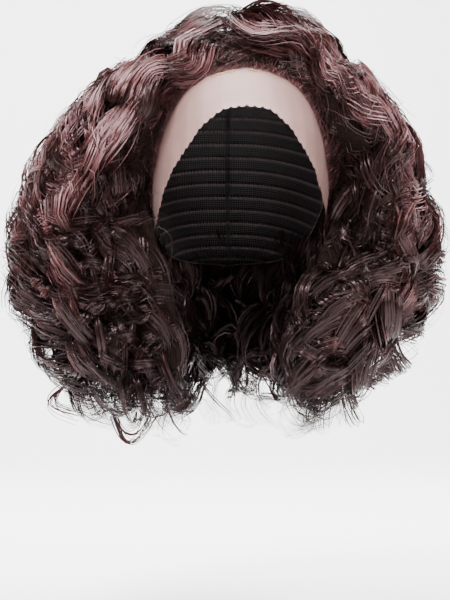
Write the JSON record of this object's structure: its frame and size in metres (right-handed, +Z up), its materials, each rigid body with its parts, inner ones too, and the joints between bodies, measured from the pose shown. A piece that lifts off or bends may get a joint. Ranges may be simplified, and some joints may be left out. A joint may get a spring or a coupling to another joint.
{
  "type": "lace front wig",
  "caption": "Shoulder-length curly wig on an open stretch cap, with a sheer scalloped lace panel along the hairline from ear to ear.",
  "frame": {"origin": "the inside of the cap at the top of the crown, where the wig sits on a head", "axes": "+Z up, the face side towards -Y, +X towards the wearer's left"},
  "size_m": [0.3398, 0.2388, 0.3231],
  "materials": {
    "sheer_lace": "fine sheer lace, pink-tan",
    "cap_net": "dark stretch net",
    "curled_hair": "curled synthetic hair, dark plum brown"
  },
  "bodies": {
    "root": {"lace_front": "sheer_lace", "cap_net": "cap_net", "hair_front_right": "curled_hair", "hair_front_left": "curled_hair", "hair_back_right": "curled_hair", "hair_back_left": "curled_hair"}
  },
  "joints": []
}
